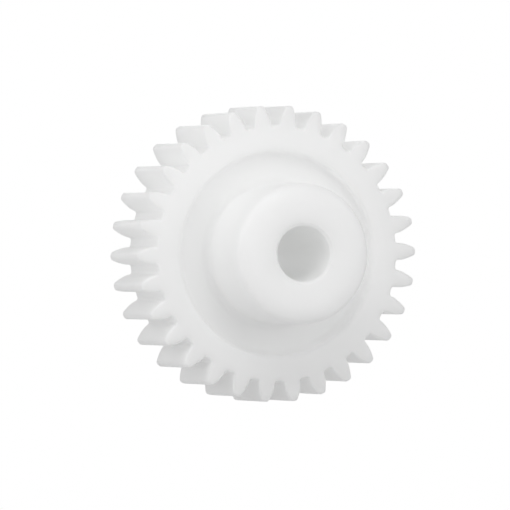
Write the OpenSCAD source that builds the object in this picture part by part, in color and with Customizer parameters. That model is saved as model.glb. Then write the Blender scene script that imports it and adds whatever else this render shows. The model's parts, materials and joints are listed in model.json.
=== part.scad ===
// Moulded plastic spur gear with a hub on one side.
// The gear turns about the Y axis, and its hub points towards -Y. The origin is
// on that axis, in the middle of the face width. All sizes are in millimetres.

/* [Teeth] */
// Module, which is the pitch diameter divided by the number of teeth
gear_module = 1; // [1:0.05:1.25]
// Number of teeth
tooth_count = 30; // [28:1:60]
// Pressure angle of the involute flanks, in degrees
pressure_angle = 20; // [18:0.5:22]
// Amount by which each tooth is thinner than half the circular pitch
backlash = 0.04; // [0:0.01:0.1]
// Angle of the first tooth above the +X axis, in degrees
first_tooth_angle = 1; // [0:0.5:12]

/* [Rim] */
// Width of the teeth and rim along the axis
face_width = 9; // [7:0.5:12]
// Diameter of the recess that the rim surrounds, on both faces
recess_d = 22; // [21:0.5:23]
// Radius of the rounded lip between the rim's faces and its recess
lip_r = 0.3; // [0.1:0.1:0.5]

/* [Web] */
// Depth of the recess below each face of the rim
recess_depth = 1.5; // [1:0.1:2.5]
// Size of the sloped corner where the web meets the hub and the rim
web_corner = 0.5; // [0.2:0.1:0.6]

/* [Hub] */
// Length of the whole gear along the axis
overall_length = 17; // [14:0.5:24]
// Outer diameter of the hub
hub_d = 15; // [13:0.5:17]
// Radius of the rounded outer edge at the hub's end
hub_edge_r = 1.2; // [0.5:0.1:1.5]
// Diameter of the shaft bore
bore_d = 6; // [4:0.5:8]
// Size of the chamfer at both ends of the bore
bore_chamfer = 0.25; // [0.1:0.05:0.5]

/* [Hidden] */
$fn = 96;

// Proportions of a standard full-depth tooth, as multiples of the module
addendum_ratio = 1;
dedendum_ratio = 1.25;
fillet_ratio = 0.3;
tip_round_ratio = 0.12;

pitch_r = gear_module * tooth_count / 2;
base_r = pitch_r * cos(pressure_angle);
tip_r = pitch_r + addendum_ratio * gear_module;
root_r = pitch_r - dedendum_ratio * gear_module;
fillet_r = fillet_ratio * gear_module;
tip_round = tip_round_ratio * gear_module;

back_z = -face_width / 2;
front_z = face_width / 2;
nose_z = back_z + overall_length;
hub_r = hub_d / 2;
bore_r = bore_d / 2;
recess_r = recess_d / 2;
web_half = face_width / 2 - recess_depth;

// Points along each curved stretch of the tooth outline
flank_steps = 6;
fillet_steps = 4;
tip_steps = 3;

moulding_colour = [0.92, 0.92, 0.91];

// Extra length that makes a cutting shape pass clean through
cut = 0.5;

// Involute function of a pressure angle, in degrees
function involute(angle) = tan(angle) * 180 / PI - angle;

// Half of the angle that a tooth spans on the pitch circle, in degrees
pitch_thickness = PI * gear_module / 2 - backlash;
pitch_half_angle = pitch_thickness / (2 * pitch_r) * 180 / PI;

// Half of the angle that a tooth spans at radius r, in degrees
function half_angle(r) =
    pitch_half_angle + involute(pressure_angle) - involute(acos(min(1, base_r / r)));

function polar(r, angle) = [r * cos(angle), r * sin(angle)];

// Point at t, from 0 to 1, along a curve from a to c that is drawn towards b
function bezier(a, b, c, t) =
    (1 - t) * (1 - t) * a + 2 * t * (1 - t) * b + t * t * c;

// One side of a tooth centred on the X axis, from the root circle to its tip.
// The other side is its mirror image.
fillet_centre_r = root_r + fillet_r;
flank_start_r = max(base_r, fillet_centre_r);
flank_start_angle = half_angle(flank_start_r);
fillet_centre_angle = flank_start_angle + asin(fillet_r / fillet_centre_r);
fillet_sweep = 90 - (fillet_centre_angle - flank_start_angle);
fillet_centre = polar(fillet_centre_r, fillet_centre_angle);
flank_top_r = tip_r - tip_round;
tip_corner = polar(tip_r, half_angle(tip_r));
tip_land = polar(tip_r, half_angle(tip_r) - tip_round / tip_r * 180 / PI);

root_fillet = [
    for (i = [0:fillet_steps])
        fillet_centre
        + polar(fillet_r, fillet_centre_angle + 180 + fillet_sweep * i / fillet_steps)
];
flank = [
    for (i = [0:flank_steps])
        let (r = flank_start_r + (flank_top_r - flank_start_r) * i / flank_steps)
            polar(r, half_angle(r))
];
tip_curve = [
    for (i = [1:tip_steps])
        bezier(flank[flank_steps], tip_corner, tip_land, i / tip_steps)
];
upper_side = concat(root_fillet, flank, tip_curve);
lower_side = [for (p = upper_side) [p[0], -p[1]]];

function reversed(points) = [for (i = [len(points) - 1:-1:0]) points[i]];

// A whole tooth, counter-clockwise: up its lower side, then down its upper side
tooth = concat(lower_side, reversed(upper_side));

function turned(points, angle) = [
    for (p = points)
        [p[0] * cos(angle) - p[1] * sin(angle),
         p[0] * sin(angle) + p[1] * cos(angle)]
];

gear_outline = [
    for (k = [0:tooth_count - 1])
        each turned(tooth, first_tooth_angle + k * 360 / tooth_count)
];

// Turns a shape built along +Z so that it points along -Y
module stand() {
    rotate([90, 0, 0]) children();
}

// Section to cut away so that a square corner at the origin becomes round. The
// solid lies towards -X and -Y, and the quarter circle of radius r is kept.
module corner_section(r) {
    difference() {
        translate([-r, -r]) square([r + cut, r + cut]);
        translate([-r, -r]) circle(r);
    }
}

// Ring that rounds the outer edge of a cylinder of radius r whose end is at z
module outer_edge_cut(r, z, edge_r) {
    rotate_extrude() translate([r, z]) corner_section(edge_r);
}

// Ring that rounds the edge of a hole of radius r whose mouth is at z
module hole_edge_cut(r, z, edge_r) {
    rotate_extrude() translate([r, z]) mirror([1, 0]) corner_section(edge_r);
}

module toothed_rim() {
    color(moulding_colour)
        stand()
        difference() {
            translate([0, 0, back_z])
                linear_extrude(face_width)
                polygon(gear_outline);
            translate([0, 0, back_z - cut])
                cylinder(r = recess_r, h = face_width + 2 * cut);
            hole_edge_cut(recess_r, front_z, lip_r);
            mirror([0, 0, 1]) hole_edge_cut(recess_r, front_z, lip_r);
        }
}

// The recessed disc between hub and rim, with sloped corners at both
module web() {
    color(moulding_colour)
        stand()
        rotate_extrude()
        polygon([
            [hub_r, -web_half - web_corner],
            [hub_r + web_corner, -web_half],
            [recess_r - web_corner, -web_half],
            [recess_r, -web_half - web_corner],
            [recess_r, web_half + web_corner],
            [recess_r - web_corner, web_half],
            [hub_r + web_corner, web_half],
            [hub_r, web_half + web_corner]
        ]);
}

module hub() {
    color(moulding_colour)
        stand()
        difference() {
            translate([0, 0, back_z]) cylinder(r = hub_r, h = overall_length);
            translate([0, 0, back_z - cut])
                cylinder(r = bore_r, h = overall_length + 2 * cut);
            outer_edge_cut(hub_r, nose_z, hub_edge_r);
            mirror([0, 0, 1]) outer_edge_cut(hub_r, -back_z, lip_r);
            bore_chamfer_cut(nose_z);
            mirror([0, 0, 1]) bore_chamfer_cut(-back_z);
        }
}

// Cone that chamfers the mouth of the bore at z
module bore_chamfer_cut(z) {
    translate([0, 0, z - bore_chamfer])
        cylinder(r1 = bore_r, r2 = bore_r + bore_chamfer + cut, h = bore_chamfer + cut);
}

toothed_rim();
web();
hub();
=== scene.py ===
"""Looks of a moulded plastic spur gear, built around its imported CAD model.

The gear turns about the Y axis and its hub points towards -Y. Its surface is worked out in gear
coordinates: a complex number is a point across the axis (real along +X, imaginary along +Z), and
a height is a distance along the axis from the middle of the teeth, towards the hub.
"""

import cmath
import json
import math

import bmesh
import bpy
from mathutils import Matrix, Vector


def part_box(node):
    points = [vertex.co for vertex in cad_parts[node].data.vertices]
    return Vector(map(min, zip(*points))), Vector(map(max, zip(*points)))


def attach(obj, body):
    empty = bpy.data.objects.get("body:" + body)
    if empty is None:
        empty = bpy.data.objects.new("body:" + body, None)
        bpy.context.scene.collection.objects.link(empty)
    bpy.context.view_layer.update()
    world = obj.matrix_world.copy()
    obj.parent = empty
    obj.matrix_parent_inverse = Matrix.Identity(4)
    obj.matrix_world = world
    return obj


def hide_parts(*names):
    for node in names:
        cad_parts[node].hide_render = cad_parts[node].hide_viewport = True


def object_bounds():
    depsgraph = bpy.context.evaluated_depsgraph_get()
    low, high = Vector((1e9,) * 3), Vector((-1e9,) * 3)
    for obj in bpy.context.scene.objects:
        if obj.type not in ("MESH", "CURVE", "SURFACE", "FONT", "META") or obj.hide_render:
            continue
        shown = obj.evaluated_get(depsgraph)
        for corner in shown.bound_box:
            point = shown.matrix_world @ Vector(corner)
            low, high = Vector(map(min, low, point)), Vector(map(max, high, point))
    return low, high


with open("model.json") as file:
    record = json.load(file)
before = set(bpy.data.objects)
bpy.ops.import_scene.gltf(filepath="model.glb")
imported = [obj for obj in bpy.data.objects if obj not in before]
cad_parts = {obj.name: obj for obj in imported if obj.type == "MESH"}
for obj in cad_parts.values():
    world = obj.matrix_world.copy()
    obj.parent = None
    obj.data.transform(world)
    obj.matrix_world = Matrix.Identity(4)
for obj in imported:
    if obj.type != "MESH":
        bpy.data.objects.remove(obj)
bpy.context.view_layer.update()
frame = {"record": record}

MM = 0.001

# Sizes that come from the CAD model and its record
mounts = {mount["name"]: mount for mount in frame["record"]["mounts"]}
rim_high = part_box("toothed_rim")[1]
web_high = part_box("web")[1]
hub_low, hub_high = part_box("hub")
tip_r = rim_high.x
pitch_r = mounts["tooth_mesh"]["dims"]["r_mm"] * MM
bore_r = mounts["shaft_bore"]["dims"]["r_mm"] * MM
recess_r = web_high.x
hub_r = hub_high.x
rim_face = rim_high.y
nose_face = -hub_low.y
WEB_CORNER = 0.5 * MM  # the slope at the web's corners, which its box includes
web_face = web_high.y - WEB_CORNER

# Tooth shape: the CAD model's involute, with rounded tip corners and end edges
PRESSURE_ANGLE = math.radians(20)
BACKLASH = 0.04 * MM
FIRST_TOOTH = math.radians(1)
ROOT_DEPTH = 1.25  # modules below the pitch circle
ROOT_FILLET = 0.3  # modules
module = tip_r - pitch_r
tooth_count = round(2 * pitch_r / module)
tooth_pitch = 2 * math.pi / tooth_count
base_r = pitch_r * math.cos(PRESSURE_ANGLE)
root_r = pitch_r - ROOT_DEPTH * module
root_fillet_r = ROOT_FILLET * module
TIP_CORNER = 0.24 * MM
END_EDGE_R = 0.22 * MM

# Points along each stretch of a tooth's outline
FILLET_STEPS = 5
FLANK_STEPS = 9
TIP_STEPS = 4
LAND_STEPS = 8
GAP_STEPS = 2
side_steps = FILLET_STEPS + FLANK_STEPS + TIP_STEPS

# Rings along the straight flanks, and along each rounded end edge
FLANK_RINGS = 8
END_EDGE_RINGS = 4


def involute(angle):
    return math.tan(angle) - angle


def tooth_half_angle(radius):
    """Half of the angle that a tooth spans at this radius."""
    thickness = math.pi * module / 2 - BACKLASH
    at_pitch = thickness / (2 * pitch_r)
    pressure = math.acos(min(1, base_r / radius))
    return at_pitch + involute(PRESSURE_ANGLE) - involute(pressure)


def tooth_side():
    """The upper side of a tooth that is centred on the real axis, from its root to its land."""
    centre_r = root_r + root_fillet_r
    centre_angle = tooth_half_angle(base_r) + math.asin(root_fillet_r / centre_r)
    centre = cmath.rect(centre_r, centre_angle)
    sweep = math.pi / 2 - math.asin(root_fillet_r / centre_r)
    fillet = [
        centre + cmath.rect(root_fillet_r, centre_angle + math.pi + sweep * i / FILLET_STEPS)
        for i in range(FILLET_STEPS)
    ]
    flank_top = tip_r - TIP_CORNER
    flank = []
    for i in range(FLANK_STEPS + 1):
        radius = base_r + (flank_top - base_r) * i / FLANK_STEPS
        flank.append(cmath.rect(radius, tooth_half_angle(radius)))
    corner = cmath.rect(tip_r, tooth_half_angle(tip_r))
    land = cmath.rect(tip_r, tooth_half_angle(tip_r) - TIP_CORNER / tip_r)
    tip = []
    for i in range(1, TIP_STEPS + 1):
        t = i / TIP_STEPS
        tip.append((1 - t) ** 2 * flank[-1] + 2 * t * (1 - t) * corner + t * t * land)
    return fillet + flank + tip


def between(a, b, t):
    """The point at share t of the way from a to b, turning about the axis."""
    return cmath.rect(
        abs(a) + (abs(b) - abs(a)) * t,
        cmath.phase(a) + cmath.phase(b / a) * t,
    )


def gear_outline():
    """The teeth's closed outline. Each tooth gives its lower side, land, upper side and gap."""
    upper = tooth_side()
    lower = [p.conjugate() for p in upper]
    land = [between(lower[-1], upper[-1], i / LAND_STEPS) for i in range(1, LAND_STEPS)]
    next_root = lower[0] * cmath.rect(1, tooth_pitch)
    gap = [between(upper[0], next_root, i / GAP_STEPS) for i in range(1, GAP_STEPS)]
    tooth = lower + land + upper[::-1] + gap
    return [
        p * cmath.rect(1, FIRST_TOOTH + k * tooth_pitch)
        for k in range(tooth_count)
        for p in tooth
    ]


def inset(outline, distance):
    """The closed outline moved into the material, along its own normals."""
    moved = []
    for i, p in enumerate(outline):
        after = outline[(i + 1) % len(outline)] - p
        before = p - outline[i - 1]
        tangent = after / abs(after) + before / abs(before)
        moved.append(p + 1j * tangent / abs(tangent) * distance)
    return moved


class Shell:
    """Collects the points and faces of one closed mesh."""

    def __init__(self):
        self.points = []
        self.faces = []

    def add(self, p, height):
        self.points.append(Vector((p.real, -height, p.imag)))
        return len(self.points) - 1

    def ring(self, outline, height):
        return [self.add(p, height) for p in outline]

    def strip(self, a, b):
        """Quads between two open rows of points."""
        for i in range(len(a) - 1):
            self.faces.append((a[i], a[i + 1], b[i + 1], b[i]))

    def band(self, a, b, gaps=()):
        """Quads between two closed rings of points, but for those that start at a gap."""
        for i in range(len(a)):
            if i not in gaps:
                j = (i + 1) % len(a)
                self.faces.append((a[i], a[j], b[j], b[i]))


def tooth_ends(shell, ring, outline, height):
    """Fills the teeth's flat end inside this outline ring, and returns the ring at its roots."""
    per_tooth = len(ring) // tooth_count
    root_ring = []
    for k in range(tooth_count):
        first = k * per_tooth
        upper_end = first + 2 * side_steps + LAND_STEPS
        rows = []
        for i in range(side_steps):
            low, high = first + i, upper_end - i
            share = i / side_steps
            even_r = abs(outline[first]) + share * (
                abs(outline[first + side_steps]) - abs(outline[first])
            )
            row = [ring[low]]
            for j in range(1, LAND_STEPS):
                t = j / LAND_STEPS
                p = between(outline[low], outline[high], t)
                bulge = 4 * t * (1 - t)  # 0 at both flanks, 1 halfway between them
                row.append(shell.add(p / abs(p) * (abs(p) + (even_r - abs(p)) * bulge), height))
            row.append(ring[high])
            rows.append(row)
        rows.append(ring[first + side_steps:first + side_steps + LAND_STEPS + 1])
        for a, b in zip(rows, rows[1:]):
            shell.strip(a, b)
        root_ring += rows[0] + ring[upper_end + 1:first + per_tooth]
    return root_ring


# Profile of the turned surfaces: (radius, height, rounding radius) at each corner
RECESS_DRAFT = 0.06 * MM
LIP_R = 0.45 * MM
WEB_FILLET = 0.7 * MM
HUB_FILLET = 0.9 * MM
HUB_EDGE_R = 0.8 * MM
CROWN_WIDTH = 1.3 * MM
CROWN_DROP = 0.35 * MM
CROWN_R = 4.0 * MM
BORE_CHAMFER = 0.28 * MM
CHAMFER_EDGE_R = 0.12 * MM
ROUNDING_STEPS = 8
RING_SPACING = 0.5 * MM
ROOT_MARGIN = 0.5 * MM  # the turned surfaces start this far inside the tooth roots


def profile_corners():
    start_r = root_r - ROOT_MARGIN
    front = [
        (start_r, rim_face, 0),
        (recess_r, rim_face, LIP_R),
        (recess_r - RECESS_DRAFT, web_face, WEB_FILLET),
        (hub_r, web_face, HUB_FILLET),
        (hub_r, nose_face - CROWN_DROP, HUB_EDGE_R),
        (hub_r - CROWN_WIDTH, nose_face, CROWN_R),
        (bore_r + BORE_CHAMFER, nose_face, CHAMFER_EDGE_R),
        (bore_r, nose_face - BORE_CHAMFER, CHAMFER_EDGE_R),
    ]
    back = [
        (bore_r, -rim_face + BORE_CHAMFER, CHAMFER_EDGE_R),
        (bore_r + BORE_CHAMFER, -rim_face, CHAMFER_EDGE_R),
        (hub_r, -rim_face, LIP_R),
        (hub_r, -web_face, HUB_FILLET),
        (recess_r - RECESS_DRAFT, -web_face, WEB_FILLET),
        (recess_r, -rim_face, LIP_R),
        (start_r, -rim_face, 0),
    ]
    return front + back


def rounded(corners):
    """Turns corners into a line of points: an arc at each rounded corner, and steps between."""
    points = [complex(*corners[0][:2])]

    def run_to(target):
        start = points[-1]
        steps = max(1, round(abs(target - start) / RING_SPACING))
        points.extend(start + (target - start) * i / steps for i in range(1, steps + 1))

    for before, corner, after in zip(corners, corners[1:], corners[2:]):
        p = complex(*corner[:2])
        arrive = p - complex(*before[:2])
        leave = complex(*after[:2]) - p
        arrive /= abs(arrive)
        leave /= abs(leave)
        turn = cmath.phase(leave / arrive)
        reach = corner[2] * math.tan(abs(turn) / 2)
        run_to(p - arrive * reach)
        centre = points[-1] + arrive * 1j * math.copysign(corner[2], turn)
        spoke = points[-1] - centre
        points.extend(
            centre + spoke * cmath.rect(1, turn * i / ROUNDING_STEPS)
            for i in range(1, ROUNDING_STEPS + 1)
        )
    run_to(complex(*corners[-1][:2]))
    return points


# Gate marks: dimples in the back web, each with the stub of the gate that filled the mould.
# The profile is (radius, depth below the web), from the outside in.
GATE_COUNT = 3
GATE_OFFSET = 0.25
GATE_COLUMNS = 10
GATE_PROFILE = [
    (0.72 * MM, 0),
    (0.68 * MM, 0.01 * MM),
    (0.62 * MM, 0.07 * MM),
    (0.56 * MM, 0.09 * MM),
    (0.34 * MM, 0.09 * MM),
    (0.29 * MM, 0.07 * MM),
    (0.26 * MM, 0.01 * MM),
    (0.21 * MM, -0.01 * MM),
    (0.10 * MM, 0),
]


def gate_mark(shell, rings, column):
    """Fills the gap that starts at this column of the back web with one round gate mark."""
    columns = range(column, column + GATE_COLUMNS)
    last = column + GATE_COLUMNS
    loop = [rings[0][c] for c in columns]
    loop += [ring[last] for ring in rings[:-1]]
    loop += [rings[-1][c + 1] for c in reversed(columns)]
    loop += [ring[column] for ring in reversed(rings[1:])]
    corners = [complex(shell.points[i].x, shell.points[i].z) for i in loop]
    centre = sum(corners) / len(corners)
    spokes = [(p - centre) / abs(p - centre) for p in corners]
    for radius, depth in GATE_PROFILE:
        ring = shell.ring([centre + spoke * radius for spoke in spokes], depth - web_face)
        shell.band(loop, ring)
        loop = ring
    shell.faces.append(tuple(loop))


# Say that larger faces have in the shading normals round them: 50 is an even say, 100 is all
FLAT_WEIGHT = 100


def build_gear():
    shell = Shell()
    outline = gear_outline()

    edge_turns = [math.pi / 2 * i / END_EDGE_RINGS for i in range(END_EDGE_RINGS + 1)]
    levels = [
        (END_EDGE_R * (1 - math.cos(turn)), rim_face - END_EDGE_R * (1 - math.sin(turn)))
        for turn in reversed(edge_turns)
    ]
    straight = rim_face - END_EDGE_R
    flanks = [
        (0, straight - 2 * straight * i / FLANK_RINGS) for i in range(1, FLANK_RINGS)
    ]
    levels = levels + flanks + [(step, -height) for step, height in reversed(levels)]
    rings = [shell.ring(inset(outline, step), height) for step, height in levels]
    for a, b in zip(rings, rings[1:]):
        shell.band(a, b)

    flat_outline = inset(outline, END_EDGE_R)
    front_root = tooth_ends(shell, rings[0], flat_outline, rim_face)
    back_root = tooth_ends(shell, rings[-1], flat_outline, -rim_face)

    angles = [math.atan2(shell.points[i].z, shell.points[i].x) for i in front_root]
    profile = rounded(profile_corners())
    turned = [front_root]
    turned += [
        shell.ring([cmath.rect(p.real, angle) for angle in angles], p.imag) for p in profile
    ]
    turned.append(back_root)
    back_web = [
        turned[i + 1] for i, p in enumerate(profile) if math.isclose(p.imag, -web_face)
    ]
    gates = [
        round((k + GATE_OFFSET) * len(angles) / GATE_COUNT) for k in range(GATE_COUNT)
    ]
    gate_columns = {c + i for c in gates for i in range(GATE_COLUMNS)}
    for a, b in zip(turned, turned[1:]):
        on_web = a in back_web and b in back_web
        shell.band(a, b, gate_columns if on_web else ())
    for column in gates:
        gate_mark(shell, back_web, column)

    mesh = bpy.data.meshes.new("gear_moulding")
    mesh.from_pydata(shell.points, [], shell.faces)
    surface = bmesh.new()
    surface.from_mesh(mesh)
    unused = [vert for vert in surface.verts if not vert.link_faces]
    bmesh.ops.delete(surface, geom=unused, context="VERTS")
    bmesh.ops.recalc_face_normals(surface, faces=surface.faces)
    surface.to_mesh(mesh)
    surface.free()
    mesh.shade_smooth()
    gear = bpy.data.objects.new("gear_moulding", mesh)
    bpy.context.scene.collection.objects.link(gear)
    normals = gear.modifiers.new("flat faces stay flat", "WEIGHTED_NORMAL")
    normals.weight = FLAT_WEIGHT
    return gear


class Nodes:
    """Adds nodes to a material or world, with their inputs given by name."""

    def __init__(self, owner):
        owner.use_nodes = True
        self.tree = owner.node_tree
        self.tree.nodes.clear()

    def add(self, kind, inputs=None, **settings):
        node = self.tree.nodes.new("ShaderNode" + kind)
        for name, value in settings.items():
            setattr(node, name, value)
        for name, value in (inputs or {}).items():
            socket = node.inputs[name]
            if isinstance(value, bpy.types.NodeSocket):
                self.tree.links.new(value, socket)
            else:
                socket.default_value = value
        return node

    def ramp(self, source, low, high):
        """Maps a 0 to 1 value onto low to high."""
        node = self.add("MapRange", {"Value": source, "To Min": low, "To Max": high})
        return node.outputs["Result"]

    def fade(self, source, start, end, low=0.0):
        """Rises smoothly from low to 1 as a value goes from start to end."""
        node = self.add(
            "MapRange",
            {"Value": source, "From Min": start, "From Max": end, "To Min": low},
            interpolation_type="SMOOTHSTEP",
        )
        return node.outputs["Result"]


# Natural acetal. Each noise has its cycles per metre and its levels of finer detail.
TINTS = (0.974, 0.979, 0.974, 1), (0.982, 0.984, 0.980, 1)
TINT_NOISE = 180, 3
ROUGHNESS = 0.36, 0.46
ROUGHNESS_NOISE = 900, 4
GRAIN_NOISE = 9000, 2
GRAIN_HEIGHT = 0.0015 * MM
SWELL_NOISE = 500, 2
SWELL_HEIGHT = 0.01 * MM
REFRACTIVE_INDEX = 1.48
LIGHT_REACH = 5.0 * MM


def acetal():
    """Natural white acetal: satin, milky, and slightly see-through."""
    material = bpy.data.materials.new("moulded_acetal")
    nodes = Nodes(material)
    place = nodes.add("TexCoord").outputs["Object"]

    def noise(scale, detail):
        node = nodes.add("TexNoise", {"Vector": place, "Scale": scale, "Detail": detail})
        return node.outputs["Fac"]

    mottle = noise(*TINT_NOISE)
    colour = nodes.add(
        "Mix", {"Factor": mottle, "A": TINTS[0], "B": TINTS[1]}, data_type="RGBA"
    )
    colour = [s for s in colour.outputs if s.type == "RGBA"][0]
    haze = nodes.ramp(noise(*ROUGHNESS_NOISE), *ROUGHNESS)
    grain = noise(*GRAIN_NOISE)
    swell = noise(*SWELL_NOISE)
    fine = nodes.add("Bump", {"Height": grain, "Strength": 1.0, "Distance": GRAIN_HEIGHT})
    broad = nodes.add(
        "Bump",
        {
            "Height": swell,
            "Strength": 1.0,
            "Distance": SWELL_HEIGHT,
            "Normal": fine.outputs["Normal"],
        },
    )
    surface = nodes.add(
        "BsdfPrincipled",
        {
            "Base Color": colour,
            "Roughness": haze,
            "IOR": REFRACTIVE_INDEX,
            "Subsurface Weight": 1.0,
            "Subsurface Radius": (1.0, 1.0, 1.0),
            "Subsurface Scale": LIGHT_REACH,
            "Normal": broad.outputs["Normal"],
        },
    )
    nodes.add("OutputMaterial", {"Surface": surface.outputs["BSDF"]})
    return material


gear = build_gear()
gear.data.materials.append(acetal())
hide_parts("toothed_rim", "web", "hub")
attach(gear, "root")


# Floor, just under the lowest teeth: it lights the gear evenly from below
FLOOR_SIZE = 4.0
FLOOR_GLOW = 0.57
FLOOR_PAINT = (0.8, 0.8, 0.8, 1)
FLOOR_TONE = 0.72

# Shadow: the floor is part paint near the gear, and turns to an even tone between two distances
NEAR_TONE_SHARE = 0.3
SHADOW_FADE = 0.02, 0.12

# How side on the floor is seen, out of 1, where its fade to white starts and ends
SIDE_ON_FADE = 0.80, 0.97


def floor_material():
    """Pale grey with a soft shadow, fading to the backdrop's white where it is seen side on."""
    material = bpy.data.materials.new("studio_floor")
    nodes = Nodes(material)
    place = nodes.add("TexCoord").outputs["Object"]
    reach = nodes.add("VectorMath", {0: place}, operation="LENGTH").outputs["Value"]
    far = nodes.fade(reach, *SHADOW_FADE, NEAR_TONE_SHARE)
    side_on = nodes.fade(nodes.add("LayerWeight").outputs["Facing"], *SIDE_ON_FADE)

    def glow(strength):
        return nodes.add("Emission", {"Strength": strength})

    def mixed(share, first, second):
        node = nodes.add("MixShader", {0: share, 1: first, 2: second})
        return node.outputs["Shader"]

    paint = nodes.add("BsdfDiffuse", {"Color": FLOOR_PAINT}).outputs["BSDF"]
    pale = mixed(far, paint, glow(FLOOR_TONE).outputs["Emission"])
    look = mixed(side_on, pale, glow(1.0).outputs["Emission"])
    light = glow(FLOOR_GLOW)
    light.name = "floor_glow"
    seen = nodes.add("LightPath").outputs["Is Camera Ray"]
    surface = mixed(seen, light.outputs["Emission"], look)
    nodes.add("OutputMaterial", {"Surface": surface})
    return material


def build_floor():
    half = FLOOR_SIZE / 2
    mesh = bpy.data.meshes.new("floor")
    mesh.from_pydata(
        [(-half, -half, 0), (half, -half, 0), (half, half, 0), (-half, half, 0)],
        [],
        [(0, 1, 2, 3)],
    )
    mesh.materials.append(floor_material())
    floor = bpy.data.objects.new("floor", mesh)
    floor.location.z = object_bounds()[0].z
    bpy.context.scene.collection.objects.link(floor)


build_floor()


def towards(azimuth, elevation):
    """Unit vector from the gear to a place round it. Azimuth 0 is in front, at -Y."""
    a, e = math.radians(azimuth), math.radians(elevation)
    return Vector((math.sin(a) * math.cos(e), -math.cos(a) * math.cos(e), math.sin(e)))


# Softboxes near the gear: name, azimuth, elevation and power in watts
LIGHTS = [
    ("upper front", -15, 45, 0.080),
    ("upper left", -45, 45, 0.031),
    ("front", 15, 10, 0.038),
    ("left", -80, 10, 0.072),
    ("right", 50, 10, 0.029),
    ("upper back", 165, 40, 0.040),
    ("back", -160, 15, 0.012),
]
LIGHT_DISTANCE = 0.20
LIGHT_SIZE = 0.12


def build_lights():
    for name, azimuth, elevation, power in LIGHTS:
        lamp = bpy.data.lights.new(name, "AREA")
        lamp.shape = "DISK"
        lamp.size = LIGHT_SIZE
        lamp.energy = power
        holder = bpy.data.objects.new(name, lamp)
        back = towards(azimuth, elevation)
        holder.location = back * LIGHT_DISTANCE
        holder.rotation_euler = back.to_track_quat("Z", "Y").to_euler()
        bpy.context.scene.collection.objects.link(holder)


# The white room's even light
ROOM_LIGHT = 0.47


def build_world():
    """White to the camera. Everything else is lit by the room."""
    world = bpy.data.worlds.new("studio")
    bpy.context.scene.world = world
    nodes = Nodes(world)
    seen = nodes.add("LightPath").outputs["Is Camera Ray"]
    light = nodes.add("Background", {"Color": (1, 1, 1, 1), "Strength": ROOM_LIGHT})
    backdrop = nodes.add("Background", {"Color": (1, 1, 1, 1), "Strength": 1.0})
    mix = nodes.add(
        "MixShader",
        {0: seen, 1: light.outputs["Background"], 2: backdrop.outputs["Background"]},
    )
    nodes.add("OutputWorld", {"Surface": mix.outputs["Shader"]})


build_world()
build_lights()

# Camera at the photograph's viewing angle
VIEW_AZIMUTH = -20.63
VIEW_DISTANCE = 0.7223
SENSOR = 36.0  # millimetres, like the lens
LENS = 470.7
NEAREST = 0.01
FARTHEST = 10
SIDE_SHIFT = -0.88 * MM
RISE = -0.14 * MM


def build_camera():
    data = bpy.data.cameras.new("camera")
    data.sensor_width = SENSOR
    data.lens = LENS
    data.clip_start = NEAREST
    data.clip_end = FARTHEST
    camera = bpy.data.objects.new("camera", data)
    back = towards(VIEW_AZIMUTH, 0)
    right = Vector((-back.y, back.x, 0))
    aim = right * SIDE_SHIFT + Vector((0, 0, RISE))
    camera.location = aim + back * VIEW_DISTANCE
    camera.rotation_euler = back.to_track_quat("Z", "Y").to_euler()
    bpy.context.scene.collection.objects.link(camera)
    bpy.context.scene.camera = camera


build_camera()

# White plastic passes light round many times before it is lost
LIGHT_BOUNCES = 12

bpy.context.scene.view_settings.view_transform = "Standard"
bpy.context.scene.cycles.diffuse_bounces = LIGHT_BOUNCES
